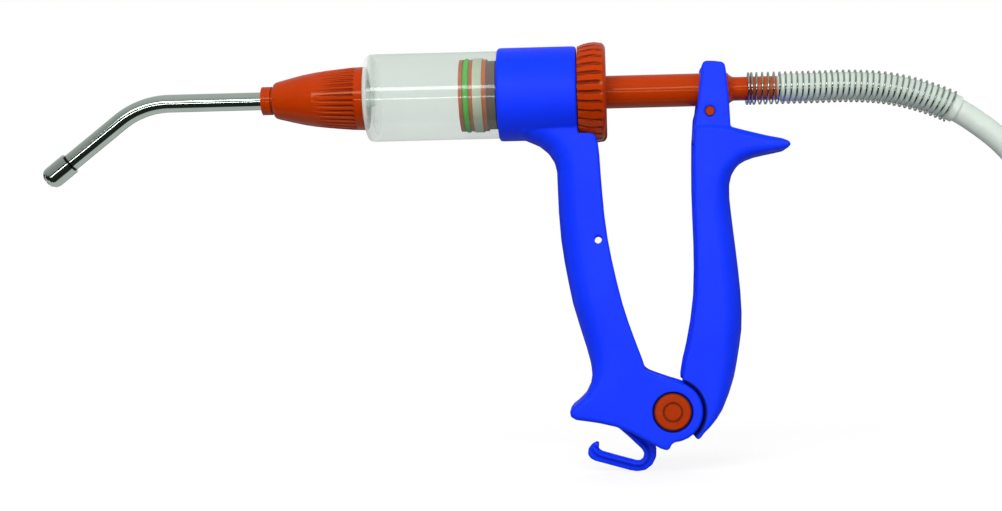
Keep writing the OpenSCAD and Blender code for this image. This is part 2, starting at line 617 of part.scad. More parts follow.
corner = collar_front - nozzle_straight;
bend_run = nozzle_bend_r * tan(nozzle_bend / 2);
module along_nozzle() {
  translate([corner, 0, 0]) rotate([0, -90 - nozzle_bend, 0]) children();
}
bend_centre = [corner + bend_run, -nozzle_bend_r];
nozzle_end = nozzle_reach - tip_len / 3;
nozzle_path = concat([[socket_end - seat_gap, 0, 0]],
  [for (q = arc(bend_centre, nozzle_bend_r, 90, 90 + nozzle_bend, nozzle_bend_steps)) [q[0], 0, q[1]]],
  [[corner - nozzle_end * cos(nozzle_bend), 0, -nozzle_end * sin(nozzle_bend)]]);
module nozzle_tube() {
  color(steel) place() tube(nozzle_path, nozzle_od / 2, nozzle_sides, nozzle_bore / 2);
}
module nozzle_tip() {
  r = tip_od / 2;
  color(steel) place() along_nozzle() rotate_extrude($fn = turn_fn) polygon(concat(
    [[nozzle_od / 2 + seat_gap, nozzle_reach - tip_len], [r, nozzle_reach - tip_len]],
    arc([r - tip_len / 4, nozzle_reach - tip_len / 4], tip_len / 4, 0, 75, 6),
    [[nozzle_bore / 2, nozzle_reach], [nozzle_bore / 2, nozzle_reach - tip_len / 3 + seat_gap],
      [nozzle_od / 2 + seat_gap, nozzle_reach - tip_len / 3 + seat_gap]]));
}

outlet_face = barrel_front - boss_len - seat_gap;
module outlet_valve() {
  color("white") place() turn([[0, outlet_face - outlet_disc - outlet_stem], [outlet_stem_r,
    outlet_face - outlet_disc - outlet_stem],
    [outlet_stem_r, outlet_face - outlet_disc], [outlet_disc_r, outlet_face - outlet_disc],
    [outlet_disc_r, outlet_face], [0, outlet_face]]);
}
function coil_path(from, to, r, turns) = [for (i = [0:guard_rings * turns])
  let (a = 360 * i / guard_rings)
  [from + (to - from) * i / (guard_rings * turns), r * cos(a), r * sin(a)]];
outlet_path = coil_path(outlet_face - outlet_disc - outlet_wire / 2 - seat_gap,
  room_front + outlet_wire / 2 + seat_gap,
  outlet_coil_r, outlet_turns);
echo(outlet_spring_gap = self_gap(outlet_path, guard_rings - 1, outlet_wire));
module outlet_spring() {
  color(steel) place() tube(outlet_path, outlet_wire / 2, wire_sides, 0, [1, 0, 0]);
}

module piston() {
  f = flange_od / 2;
  hub_groove = hub_rear - hub_flange - hub_neck;
  color(orange) place() difference() {
    turn([[0, piston_front], [f, piston_front], [f, piston_front + flange_front], [groove_r,
      piston_front + flange_front],
      [groove_r, piston_front + flange_front + groove_len], [f,
        piston_front + flange_front + groove_len], [f, guide_front],
      [groove_r, guide_front], [groove_r, guide_front + guide_width], [f, guide_front + guide_width],
        [f, hub_front],
      [hub_r, hub_front], [hub_r, hub_groove], [hub_neck_r, hub_groove], [hub_neck_r,
        hub_groove + hub_neck],
      [hub_r, hub_groove + hub_neck], [hub_r, hub_rear], [0, hub_rear]]);
    rod_x(piston_bore_r, piston_front - overrun, rod_front);
    rod_x(rod_spigot_r + seat_gap, piston_front, hub_rear + overrun);
  }
}
module piston_o_ring() {
  color([0.35, 0.62, 0.28]) place() translate([piston_front + flange_front + groove_len / 2, 0, 0])
    rotate([0, 90, 0])
    rotate_extrude($fn = turn_fn) translate([barrel_bore / 2 - run_gap - o_ring_cord / 2, 0])
      circle(r = o_ring_cord / 2, $fn = turn_fn);
}
module guide_ring() {
  color([0.85, 0.85, 0.72]) place() difference() {
    rod_x(barrel_bore / 2 - run_gap, guide_front + seat_gap, guide_front + guide_width - seat_gap);
    rod_x(groove_r + guide_gap, guide_front - overrun, guide_front + overrun);
  }
}
module valve_cage() {
  color("white") place() difference() {
    rod_x(piston_bore_r - seat_gap, piston_front, piston_front + cage_len);
    for (i = [0:cage_holes - 1]) rotate([360 * i / cage_holes, 0, 0]) translate([0, 0, cage_hole_place])
      rod_x(cage_hole_r, piston_front - overrun, piston_front + overrun);
  }
}
module inlet_valve() {
  face = rod_front - seat_gap;
  color("white") place() turn([[0, face - inlet_disc - inlet_stem], [inlet_stem_r,
    face - inlet_disc - inlet_stem],
    [inlet_stem_r, face - inlet_disc], [inlet_disc_r, face - inlet_disc], [inlet_disc_r, face], [0,
      face]]);
}
inlet_path = coil_path(piston_front + cage_len + inlet_wire / 2 + seat_gap,
  rod_front - seat_gap - inlet_disc - inlet_wire / 2 - seat_gap, inlet_coil_r, inlet_turns);
echo(inlet_spring_gap = self_gap(inlet_path, guard_rings - 1, inlet_wire));
module inlet_spring() {
  color(steel) place() tube(inlet_path, inlet_wire / 2, wire_sides, 0, [1, 0, 0]);
}

module dose_ring() {
  r = ring_od / 2;
  front_r = r * ring_front_r_share;
  bead_rear = -rim_len - body_gap;
  color(orange) place() difference() {
    turn(concat([[0, bead_rear - ring_bead], [ring_bead_r, bead_rear - ring_bead],
      [ring_bead_r, bead_rear], [ring_neck_r, bead_rear], [ring_neck_r, body_gap], [front_r, body_gap]],
      [for (q = ring_bulge_shares) [front_r + (r - front_r) * q[1], ring_len * q[0]]],
      arc([r - ring_round, ring_len - ring_round], ring_round, 30, 90, 4),
      [[ring_dish_r, ring_len], [ring_dish_r, ring_len - ring_dish], [0, ring_len - ring_dish]]));
    rod_x(stop_od / 2 + run_gap, bead_rear - ring_bead - overrun, ring_len - ring_dish - ring_back_wall);
    rod_x(ring_rod_hole_r, 0, ring_len + overrun);
    for (i = [0:lobe_count - 1]) rotate([360 * (i + 0.5) / lobe_count, 0, 0])
      translate([0, 0, front_r + groove_up]) rotate([0, -groove_tilt, 0])
      rod_x(groove_cut_r, -overrun, ring_len * groove_end_share);
  }
}
module dose_stop() {
  color("white") place() difference() {
    rod_x(stop_od / 2, stop_front, stop_rear);
    rod_x(stop_bore_r, stop_front - overrun, stop_rear + overrun);
    translate([stop_front - overrun, -rod_r - 2 * key_height, -key_width])
      cube([stop_rear - stop_front + 2 * overrun, rod_r, 2 * key_width]);
  }
}

module plunger_rod() {
  neck_r = neck_od / 2;
  barb_r = barb_od / 2;
  neck_front = rod_tail + flare_len;
  barb_front = rod_tail + neck_len;
  tail_end = rod_tail + tail_len;
  flare = [for (i = [0:4]) [neck_r + (rod_r - neck_r) * pow(1 - i / 4, 2),
    rod_tail + flare_len * i / 4]];
  lug_top = -cross_pin_drop + slot_up;
  color(orange) place() difference() {
    union() {
      turn(concat([[0, rod_front], [rod_spigot_r, rod_front], [rod_spigot_r, hub_rear + seat_gap],
        [rod_r, hub_rear + seat_gap]],
        flare, [[neck_r, barb_front - run_gap], [barb_root_r, barb_front - run_gap], [barb_root_r,
          tail_end - 2 * barb_len],
          [barb_r, tail_end - 2 * barb_len], [barb_tip_r, tail_end - barb_len], [barb_root_r,
            tail_end - barb_len],
          [barb_r, tail_end - barb_len], [barb_tip_r, tail_end], [0, tail_end]]));
      translate([cross_pin_back - lug_ahead, -lug_width / 2, -cross_pin_drop - lug_below])
        cube([lug_ahead + lug_behind, lug_width, cross_pin_drop + lug_below - rod_bore / 2 - key_width]);
      translate([key_front, -rod_r - key_height, -key_width / 2]) cube([key_rear - key_front,
        rod_r / 2, key_width]);
    }
    rod_x(rod_bore / 2, rod_front - overrun, rod_tail);
    rod_x(tail_bore_r, rod_tail - overrun, tail_end + overrun);
    for (z = [-slot_down, slot_up]) rod_y(cross_pin_od / 2 + run_gap, cross_pin_back,
      -cross_pin_drop + z, -lug_width, lug_width);
    translate([cross_pin_back - cross_pin_od / 2 - run_gap, -lug_width, -cross_pin_drop - slot_down])
      cube([cross_pin_od + 2 * run_gap, 2 * lug_width, slot_down + slot_up]);
  }
}

// Guard: two tight coils on the neck, then an even pitch to its end on the curve
seg_len = norm(hose_route[3] - hose_route[2]);
guard_len = (guard_end_share - guard_start_share) * seg_len;
tight_len = guard_tight_pitch * guard_tight_turns;
guard_turns = guard_tight_turns + (guard_len - tight_len) / guard_pitch;
guard_coil_r = (sleeve_od / 2 + guard_room + guard_wire / 2) / cos(180 / guard_rings);
function guard_u(w) = guard_start_share + (w < guard_tight_turns ? w * guard_tight_pitch
  : tight_len + (w - guard_tight_turns) * guard_pitch) / seg_len;
function guard_point(w) = let (u = guard_u(w), t = hose_dir(u), a = [0, 1, 0], b = cross(a, t))
  hose_at(u) + guard_coil_r * (a * cos(360 * w) + b * sin(360 * w));
guard_path = [for (i = [0:floor(guard_turns * guard_rings)]) guard_point(i / guard_rings)];
echo(hose_guard_gap = self_gap(guard_path, guard_rings - 1, guard_wire), hose_guard_turns = guard_turns);
module hose_guard() {
  color(steel) place() tube(guard_path, guard_wire / 2, wire_sides, 0, [1, 0, 0]);
}

module hose_sleeve() {
  us = concat(steps(sleeve_start_share, guard_end_share, 3 * (guard_end_share - sleeve_start_share)),
    [guard_end_share + guard_pitch / seg_len]);
  color(pale) place() tube([for (u = us) hose_at(u)], sleeve_od / 2, hose_sides,
    sleeve_od / 2 - sleeve_wall);
}

module hose() {
  us = concat([hose_start_share], steps(sleeve_start_share / 3, hose_last - 1 / 3,
    hose_steps * hose_last - 2));
  color(pale) place() tube([for (u = us) hose_at(u)], hose_od / 2, hose_sides, hose_bore / 2);
}

// Stowed loops: down from the top strand, then round and outwards on the lower layer
top_y = hank_near + strand_pitch / 2;
in_y = hank_near + strand_pitch;
b_in = hank_far - strand_pitch;
b_out = hank_far;
hank_top = hank_low + strand_pitch;
function turn_pts(x, y0, y1, z, right) = [for (i = [0:hank_rings / 2])
  let (a = 180 * i / (hank_rings / 2), c = (y0 + y1) / 2,
  r = (y0 - y1) / 2) [x + (right ? 1 : -1) * abs(r) * sin(a), c + r * cos(a), z]];
hank_path = concat([hose_at(hose_last - 1 / 3) + [2 * body_gap, 0, 0], hose_at(hose_last),
  [(hank_left + 2 * hank_right) / 3, top_y, hank_top]],
  turn_pts(hank_right, top_y, b_in, hank_top, true),
  [for (i = [1:ramp_steps - 1]) let (t = i / ramp_steps)
    [hank_right + (hank_left - hank_right) * t, b_in, hank_top - strand_pitch * t * t * (3 - 2 * t)]],
  turn_pts(hank_left, b_in, in_y, hank_low, false),
  turn_pts(hank_right, in_y, b_out, hank_low, true),
  turn_pts(hank_left, b_out, hank_near, hank_low, false),
  [[hank_right, hank_near, hank_low]]);
echo(hose_hank_gap = self_gap(hank_path, hank_rings / 2, hose_od));
module hose_hank() {
  color(pale) place() {
    tube(hank_path, hose_od / 2, wire_sides, 0, [0, 0, 1]);
    translate([0, hank_near, hank_low]) difference() {
      rod_x(hose_od / 2 + run_gap, hank_right - seat_gap, hank_right + hank_end);
      rod_x(hose_bore / 2, hank_right, hank_right + hank_end + overrun);
    }
  }
}

module tie_outline(r) {
  hull() for (p = [[hank_near, hank_low], [in_y, hank_low], [top_y, hank_top]]) translate(p)
    circle(r = r, $fn = turn_fn / 3);
}
module hose_tie() {
  color("white") place() translate([tie_back, 0, 0]) rotate([90, 0, 90]) linear_extrude(tie_width)
    difference() {
    tie_outline(hose_od / 2 + run_gap + tie_wall);
    tie_outline(hose_od / 2 + run_gap);
  }
}

front_handle();
lever();
lever_pin();
pivot_pin();
pivot_cap();
return_spring();
barrel();
nose_cap();
nose_seal();
nozzle_tube();
nozzle_tip();
outlet_valve();
outlet_spring();
piston();
piston_o_ring();
guide_ring();
valve_cage();
inlet_valve();
inlet_spring();
dose_ring();
dose_stop();
plunger_rod();
hose_guard();
hose_sleeve();
hose();
hose_hank();
hose_tie();
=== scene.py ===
import json
import math
import bpy
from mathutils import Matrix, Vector

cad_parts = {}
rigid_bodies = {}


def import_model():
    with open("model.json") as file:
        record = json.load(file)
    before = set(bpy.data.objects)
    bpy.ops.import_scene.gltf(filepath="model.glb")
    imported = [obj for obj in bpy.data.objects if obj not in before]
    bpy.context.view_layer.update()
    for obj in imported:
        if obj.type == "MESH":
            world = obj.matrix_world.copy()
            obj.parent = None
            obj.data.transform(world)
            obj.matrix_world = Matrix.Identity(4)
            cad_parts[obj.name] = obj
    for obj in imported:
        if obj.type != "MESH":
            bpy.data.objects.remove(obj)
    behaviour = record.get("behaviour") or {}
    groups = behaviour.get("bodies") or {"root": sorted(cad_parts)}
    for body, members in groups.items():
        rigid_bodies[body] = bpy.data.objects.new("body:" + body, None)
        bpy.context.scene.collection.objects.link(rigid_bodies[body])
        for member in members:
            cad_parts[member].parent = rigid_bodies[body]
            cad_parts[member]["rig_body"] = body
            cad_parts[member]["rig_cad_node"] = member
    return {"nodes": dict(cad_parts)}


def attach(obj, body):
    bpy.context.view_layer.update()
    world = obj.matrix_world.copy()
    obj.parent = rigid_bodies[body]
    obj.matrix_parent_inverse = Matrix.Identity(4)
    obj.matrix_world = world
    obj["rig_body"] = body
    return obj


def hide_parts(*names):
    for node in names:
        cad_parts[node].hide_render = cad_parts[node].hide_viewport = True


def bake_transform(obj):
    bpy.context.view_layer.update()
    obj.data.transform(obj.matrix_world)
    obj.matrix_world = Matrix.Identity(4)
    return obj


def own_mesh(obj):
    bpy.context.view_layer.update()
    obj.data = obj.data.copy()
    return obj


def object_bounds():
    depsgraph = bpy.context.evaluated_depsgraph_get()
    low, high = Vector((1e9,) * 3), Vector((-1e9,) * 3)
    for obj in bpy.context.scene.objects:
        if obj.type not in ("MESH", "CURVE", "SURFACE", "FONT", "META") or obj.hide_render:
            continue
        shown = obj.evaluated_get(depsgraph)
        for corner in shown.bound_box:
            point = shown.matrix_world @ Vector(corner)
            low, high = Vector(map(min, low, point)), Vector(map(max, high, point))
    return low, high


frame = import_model()
nodes = frame["nodes"]
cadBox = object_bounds()
bpy.ops.object.select_all(action="DESELECT")
print("frame loaded:", len(nodes), "nodes")

gripBack, gripDrop = 3.0, 75.0    # grip point behind the housing face and below the barrel axis, mm
perMetre = 1000    # mm
quarterTurn = math.radians(90)


def spot(x, y, z):    # barrel-axis millimetres to the frame's metres
    return Vector(((x - gripBack) / perMetre, y / perMetre, (z + gripDrop) / perMetre))


cameraSet = {"x": 0.0089, "distance": 0.65, "z": 0.0003, "lens": 55.6, "roll": 1.5,
             "shiftX": -0.109, "shiftY": 0.0145}


def makeCamera(c):
    bpy.ops.object.camera_add(location=(c["x"], -c["distance"], c["z"]),
                              rotation=(quarterTurn, math.radians(c["roll"]), 0))
    cam = bpy.context.object
    cam.data.lens = c["lens"]
    cam.data.shift_x, cam.data.shift_y = c["shiftX"], c["shiftY"]
    cam.data.dof.use_dof = False
    bpy.context.scene.camera = cam
    bpy.context.scene.view_settings.view_transform = "Standard"


makeCamera(cameraSet)
print("camera set")


# Node helpers: n and link are a tree's nodes and links.

def newMaterial(name):
    mat = bpy.data.materials.new(name)
    mat.use_nodes = True
    tree = mat.node_tree
    return mat, tree.nodes, tree.links, tree.nodes["Principled BSDF"]


def feed(link, socket, value):    # a number, a colour or another node's output
    if isinstance(value, tuple):
        socket.default_value = (*value, 1)
    elif isinstance(value, (int, float)):
        socket.default_value = value
    else:
        link.new(value, socket)


def mathNode(n, link, operation, a, b=0.0):
    m = n.new("ShaderNodeMath")
    m.operation = operation
    feed(link, m.inputs[0], a)
    feed(link, m.inputs[1], b)
    return m.outputs[0]


def mapped(n, link, source, fromPair, toPair, curve="SMOOTHSTEP"):
    r = n.new("ShaderNodeMapRange")
    r.interpolation_type = curve
    r.inputs["From Min"].default_value, r.inputs["From Max"].default_value = fromPair
    r.inputs["To Min"].default_value, r.inputs["To Max"].default_value = toPair
    link.new(source, r.inputs["Value"])
    return r.outputs[0]


def band(n, link, source, edges, depth=1.0):    # up between edges 1 and 2, down between 3 and 4
    rise = mapped(n, link, source, edges[:2], (0.0, depth))
    fall = mapped(n, link, source, edges[2:], (1.0, 0.0))
    return mathNode(n, link, "MULTIPLY", rise, fall)


def mixed(n, link, kind, factor, a, b):
    m = n.new("ShaderNodeMix")
    m.data_type = kind
    link.new(factor, m.inputs["Factor"])
    feed(link, m.inputs["A"], a)
    feed(link, m.inputs["B"], b)
    return m.outputs["Result"]


def axesOf(n, link, kind="Object"):
    coord = n.new("ShaderNodeTexCoord")
    split = n.new("ShaderNodeSeparateXYZ")
    link.new(coord.outputs[kind], split.inputs[0])
    return split.outputs


def fromPoint(n, link, point, scale=(1, 1, 1)):    # an axis scaled by 0 doesn't count
    coord = n.new("ShaderNodeTexCoord")
    place = n.new("ShaderNodeMapping")
    place.inputs["Location"].default_value = [-p * s for p, s in zip(point, scale)]
    place.inputs["Scale"].default_value = scale
    link.new(coord.outputs["Object"], place.inputs["Vector"])
    return place.outputs["Vector"]


def vectorNode(n, link, operation, a, b=(0, 0, 0)):
    v = n.new("ShaderNodeVectorMath")
    v.operation = operation
    link.new(a, v.inputs[0])
    v.inputs[1].default_value = b
    return v.outputs["Value"]


def rayKinds(n, link):    # rays that see straight, and rays off polished pieces
    path = n.new("ShaderNodeLightPath")
    seen = mathNode(n, link, "MAXIMUM", path.outputs["Is Camera Ray"],
                    path.outputs["Is Transmission Ray"])
    return seen, path.outputs["Is Glossy Ray"]


floorSet = {"size": 12.0, "rough": 0.9, "color": (0.20, 0.20, 0.20), "bounce": (0.28, 0.28, 0.28),
            "mirrorColor": (0.012, 0.014, 0.012), "mirror": 0.48,
            "frontAt": (-0.065, -0.045), "rearAt": (0.30, 0.40),
            "glow": (0.80, 0.93), "glowAt": (0.35, 1.0)}


def makeFloor(f):
    bpy.ops.mesh.primitive_plane_add(size=f["size"], location=(0, 0, cadBox[0].z))
    floor = bpy.context.object
    floor.name = "floor"
    mat, n, link, bsdf = newMaterial("paleFloor")
    bsdf.inputs["Roughness"].default_value = f["rough"]
    bsdf.inputs["Specular IOR Level"].default_value = 0.0
    seen, glossy = rayKinds(n, link)
    pale = mixed(n, link, "RGBA", seen, f["bounce"], f["color"])
    link.new(mixed(n, link, "RGBA", glossy, pale, f["mirrorColor"]), bsdf.inputs["Base Color"])
    y = axesOf(n, link)["Y"]    # polished pieces see it dark at the camera's side and far behind
    ahead = mapped(n, link, y, f["frontAt"], (1.0, 0.0), "LINEAR")
    behind = mapped(n, link, y, f["rearAt"], (0.0, 1.0))
    dark = mathNode(n, link, "MULTIPLY", glossy, mathNode(n, link, "MAXIMUM", ahead, behind))
    shown = mathNode(n, link, "SUBTRACT", glossy, dark)
    mirrored = mathNode(n, link, "MULTIPLY", shown, f["mirror"])
    away = vectorNode(n, link, "LENGTH", fromPoint(n, link, (0, 0, 0)))
    glow = mathNode(n, link, "MULTIPLY", seen, mapped(n, link, away, f["glowAt"], f["glow"]))
    bsdf.inputs["Emission Color"].default_value = (1, 1, 1, 1)
    link.new(mathNode(n, link, "ADD", glow, mirrored), bsdf.inputs["Emission Strength"])
    floor.data.materials.append(mat)


worldSet = {"ambient": 0.42, "seen": 1.0, "dark": 0.012, "upper": 0.26, "upperAt": (0.06, 0.14),
            "top": 0.46, "topAt": (0.3, 0.95), "back": 0.48, "backAt": (0.04, 0.2),
            "rearAt": (-0.1, 0.5)}


def makeWorld(w):
    world = bpy.data.worlds.new("studio")
    bpy.context.scene.world = world
    world.use_nodes = True
    n, link = world.node_tree.nodes, world.node_tree.links
    sky = n["Background"]
    sky.inputs["Color"].default_value = (1, 1, 1, 1)
    axes = axesOf(n, link, "Generated")    # polished pieces see it dark near the horizon
    low = mapped(n, link, axes["Z"], w["upperAt"], (w["dark"], w["upper"]))
    high = mapped(n, link, axes["Z"], w["topAt"], (0.0, w["top"] - w["upper"]))
    ahead = mathNode(n, link, "ADD", low, high)
    behind = mapped(n, link, axes["Z"], w["backAt"], (w["dark"], w["back"]))
    rear = mapped(n, link, axes["Y"], w["rearAt"], (0.0, 1.0))
    mirror = mixed(n, link, "FLOAT", rear, ahead, behind)
    seen, glossy = rayKinds(n, link)
    lit = mixed(n, link, "FLOAT", glossy, w["ambient"], mirror)
    link.new(mixed(n, link, "FLOAT", seen, lit, w["seen"]), sky.inputs["Strength"])


lampSet = {
    "keyLamp": {"at": (-0.25, -0.85, 0.85), "aim": (0, 0, 0.02), "size": (0.9, 0.5),
                "power": 9.2, "mirror": False},
    "fillLamp": {"at": (0.6, -0.9, 0.25), "aim": (0, 0, 0.0), "size": (0.7, 0.7),
                 "power": 2.0, "mirror": False},
    "rearLamp": {"at": (0.1, 0.8, 0.7), "aim": (0, 0, 0.0), "size": (1.2, 0.6),
                 "power": 5.0, "mirror": False},
    "upperStrip": {"at": (-0.05, -0.72, 0.28), "aim": (0, 0, 0.075), "size": (0.9, 0.11),
                   "power": 1.95, "mirror": True},
    "lowerStrip": {"at": (-0.05, -0.72, -0.045), "aim": (0, 0, 0.075), "size": (0.9, 0.03),
                   "power": 0.7, "mirror": True},
}


def makeLamp(name, s):
    bpy.ops.object.light_add(type="AREA", location=s["at"])
    lamp = bpy.context.object
    lamp.name = name
    lamp.rotation_euler = (Vector(s["aim"]) - Vector(s["at"])).to_track_quat("-Z", "Y").to_euler()
    lamp.data.shape = "RECTANGLE"
    lamp.data.size, lamp.data.size_y = s["size"]
    lamp.data.energy = s["power"]
    lamp.visible_camera = False
    lamp.visible_glossy = s["mirror"]


makeFloor(floorSet)
makeWorld(worldSet)
for lampName, lampValues in lampSet.items():
    makeLamp(lampName, lampValues)
print("floor, world and lamps set")


# Plain finishes. A noise is its scale, detail and stretch.

noiseSpan = (0.3, 0.7)    # most of a noise lies between these
mouldSet = {"cloud": (42, 3), "streak": (60, 4, (1, 1, 7)), "grainDetail": 2, "grainDepth": 0.0001}
metalSet = {"cloud": (70, 3), "fine": (900, 3), "dull": 0.9, "grainDepth": 0.00005}


def noiseAt(n, link, scale, detail, stretch=(1, 1, 1)):
    noise = n.new("ShaderNodeTexNoise")
    noise.inputs["Scale"].default_value = scale
    noise.inputs["Detail"].default_value = detail
    link.new(fromPoint(n, link, (0, 0, 0), stretch), noise.inputs["Vector"])
    return noise.outputs["Fac"]


def ranged(n, link, noise, low, high):
    return mapped(n, link, noise, noiseSpan, (low, high), "LINEAR")


def clouded(n, link, noise, dark, light):
    return mixed(n, link, "RGBA", ranged(n, link, noise, 0, 1), dark, light)


def roughen(n, link, bsdf, noise, grain, depth):
    bump = n.new("ShaderNodeBump")
    bump.inputs["Strength"].default_value = grain
    bump.inputs["Distance"].default_value = depth
    link.new(noise, bump.inputs["Height"])
    link.new(bump.outputs["Normal"], bsdf.inputs["Normal"])


def moulded(name, dark, light, rough, grain, grainSize, spec=0.5, tint=(1, 1, 1)):
    mat, n, link, bsdf = newMaterial(name)
    cloud = noiseAt(n, link, *mouldSet["cloud"])
    streak = noiseAt(n, link, *mouldSet["streak"])
    fine = noiseAt(n, link, grainSize, mouldSet["grainDetail"])
    link.new(clouded(n, link, cloud, dark, light), bsdf.inputs["Base Color"])
    link.new(ranged(n, link, streak, *rough), bsdf.inputs["Roughness"])
    roughen(n, link, bsdf, fine, grain, mouldSet["grainDepth"])
    bsdf.inputs["Specular IOR Level"].default_value = spec
    bsdf.inputs["Specular Tint"].default_value = (*tint, 1)
    return mat


def metal(name, color, rough, stretch, grain):
    mat, n, link, bsdf = newMaterial(name)
    fine = noiseAt(n, link, *metalSet["fine"], stretch)
    cloud = noiseAt(n, link, *metalSet["cloud"])
    dull = tuple(metalSet["dull"] * c for c in color)
    bsdf.inputs["Metallic"].default_value = 1.0
    link.new(clouded(n, link, cloud, dull, color), bsdf.inputs["Base Color"])
    link.new(ranged(n, link, fine, *rough), bsdf.inputs["Roughness"])
    roughen(n, link, bsdf, fine, grain, metalSet["grainDepth"])
    return mat


blueSet = {"dark": (0.0015, 0.028, 0.84), "light": (0.002, 0.034, 0.92), "rough": (0.40, 0.50),
           "grain": 0.18, "grainSize": 2600, "spec": 0.15}
orangeSet = {"dark": (0.365, 0.028, 0.0008), "light": (0.41, 0.032, 0.0015), "rough": (0.07, 0.11),
             "grain": 0.03, "grainSize": 2200, "spec": 0.22, "tint": (1.0, 1.0, 0.6)}
duskySet = {"dark": (0.33, 0.025, 0.0008), "light": (0.37, 0.029, 0.0015), "rough": (0.20, 0.28),
            "grain": 0.10, "grainSize": 2200, "spec": 0.12, "tint": (1.0, 1.0, 0.6)}
whiteSet = {"dark": (0.78, 0.79, 0.76), "light": (0.86, 0.86, 0.83), "rough": (0.35, 0.5),
            "grain": 0.1, "grainSize": 2000}
creamSet = {"dark": (0.47, 0.49, 0.36), "light": (0.53, 0.55, 0.42), "rough": (0.35, 0.5),
            "grain": 0.1, "grainSize": 2000}
greenSet = {"dark": (0.06, 0.40, 0.012), "light": (0.08, 0.46, 0.02), "rough": (0.4, 0.55),
            "grain": 0.1, "grainSize": 1800, "spec": 0.2}
blackSet = {"dark": (0.02, 0.02, 0.02), "light": (0.035, 0.035, 0.035), "rough": (0.5, 0.65),
            "grain": 0.1, "grainSize": 1800}
steelSet = {"color": (0.73, 0.85, 0.755), "rough": (0.085, 0.105), "stretch": (1, 1, 6),
            "grain": 0.004}
wireSet = {"color": (0.54, 0.63, 0.56), "rough": (0.14, 0.22), "stretch": (1, 1, 1), "grain": 0.03}

orangePlastic = moulded("orangePlastic", **orangeSet)
whitePlastic = moulded("whitePlastic", **whiteSet)
creamPlastic = moulded("creamPlastic", **creamSet)
greenRubber = moulded("greenRubber", **greenSet)
blackRubber = moulded("blackRubber", **blackSet)
polishedSteel = metal("polishedSteel", **steelSet)
springSteel = metal("springSteel", **wireSet)


# Finishes with painted shade in their gaps and grooves. Edges are metres from a pin's axis or along
# the barrel.

pivotAt, crossPinAt = (0.0332, 0, -0.059), (0.0518, 0, 0.06495)
# painted shade: a dark navy on the blue pieces in the counterbore gap and the crescent round the
# pivot
gapSet = {
    "gripPlastic": {"edges": (0.0075, 0.0079, 0.0083, 0.0087), "depth": 0.9,
                    "paintedShade": (0.0008, 0.002, 0.05)},
    "leverPlastic": {"edges": (0.0125, 0.0131, 0.0139, 0.0147), "depth": 0.9,
                     "paintedShade": (0.0008, 0.002, 0.05)},
}
# painted shade: darker colour in the pin heads' ring groove and in the gap round their rim
pinSet = {
    "pivotPlastic": {"at": pivotAt, "edges": (0.0032, 0.0036, 0.0042, 0.0045), "depth": 0.45,
                     "rim": (0.0070, 0.0077), "rimDepth": 0.9, "paintedShade": (0.06, 0.012, 0.004)},
    "crossPlastic": {"at": crossPinAt, "edges": (0.0015, 0.0018, 0.0030, 0.0031), "depth": 0.8,
                     "rim": (0.0030, 0.0031), "rimDepth": 0.9, "paintedShade": (0.06, 0.012, 0.004)},
}
# painted shade: darker colour in the ring's and cap's grooves
grooveSet = {
    "ringPlastic": {"count": 32, "turn": math.pi, "start": 0.1, "depth": 0.75,
                    "edges": (-0.004, -0.003, 0.0066, 0.0086), "paintedShade": (0.09, 0.006, 0.0006)},
    "capPlastic": {"count": 36, "turn": 0.0, "start": 0.0, "depth": 0.75,
                   "edges": (-0.1120, -0.1000, -0.0952, -0.0946), "paintedShade": (0.09, 0.006, 0.0006)},
}


def treeOf(mat):
    return mat.node_tree.nodes, mat.node_tree.links


# mixes a dark colour over the finish where the mask is 1: painted shade
def paintShade(mat, shade, paintedShade):
    n, link = treeOf(mat)
    base = n["Principled BSDF"].inputs["Base Color"]
    link.new(mixed(n, link, "RGBA", shade, base.links[0].from_socket, paintedShade), base)


def fromPin(n, link, at):    # distance from a pin's axis
    return vectorNode(n, link, "LENGTH", fromPoint(n, link, at, (1, 0, 1)))


def gapFinish(name, s):    # painted shade in the gap round the pivot
    mat = moulded(name, **blueSet)
    n, link = treeOf(mat)
    paintShade(mat, band(n, link, fromPin(n, link, pivotAt), s["edges"], s["depth"]), s["paintedShade"])
    return mat


def pinFinish(name, s):    # painted shade in the head's ring groove and round its rim
    mat = moulded(name, **duskySet)
    n, link = treeOf(mat)
    away = fromPin(n, link, s["at"])
    ring = band(n, link, away, s["edges"], s["depth"])
    rim = mapped(n, link, away, s["rim"], (0.0, s["rimDepth"]))
    paintShade(mat, mathNode(n, link, "MAXIMUM", ring, rim), s["paintedShade"])
    return mat


def grooveFinish(name, s):    # painted shade in the grooves round the barrel's axis
    mat = moulded(name, **orangeSet)
    n, link = treeOf(mat)
    axes = axesOf(n, link)
    up = mathNode(n, link, "SUBTRACT", axes["Z"], gripDrop / perMetre)
    around = mathNode(n, link, "ARCTAN2", axes["Y"], up)
    angle = mathNode(n, link, "MULTIPLY", around, s["count"])
    turned = mathNode(n, link, "ADD", angle, s["turn"])
    wave = mathNode(n, link, "COSINE", turned)    # 1 in the middle of a groove
    groove = mapped(n, link, wave, (s["start"], 1.0), (0.0, s["depth"]))
    along = band(n, link, axes["X"], s["edges"])
    paintShade(mat, mathNode(n, link, "MULTIPLY", groove, along), s["paintedShade"])
    return mat


gripPlastic, leverPlastic = (gapFinish(name, values) for name, values in gapSet.items())
pivotPlastic, crossPlastic = (pinFinish(name, values) for name, values in pinSet.items())
ringPlastic, capPlastic = (grooveFinish(name, values) for name, values in grooveSet.items())


# Finishes of the barrel, the hose and the piston.

milkySet = {"dark": (0.20, 0.38, 0.25), "light": (0.24, 0.43, 0.29), "end": (0.94, 1.0, 0.96),
            "cloud": (60, 3), "rough": 0.5, "outer": 0.23, "outerAt": (0.0170, 0.0177),
            "edge": 0.28, "edgeAt": (0.55, 1.0), "edgeBlend": 0.5,
            "endWall": 0.52, "endAt": (-0.0905, -0.0865), "gloss": 0.06, "glossRough": 0.09}


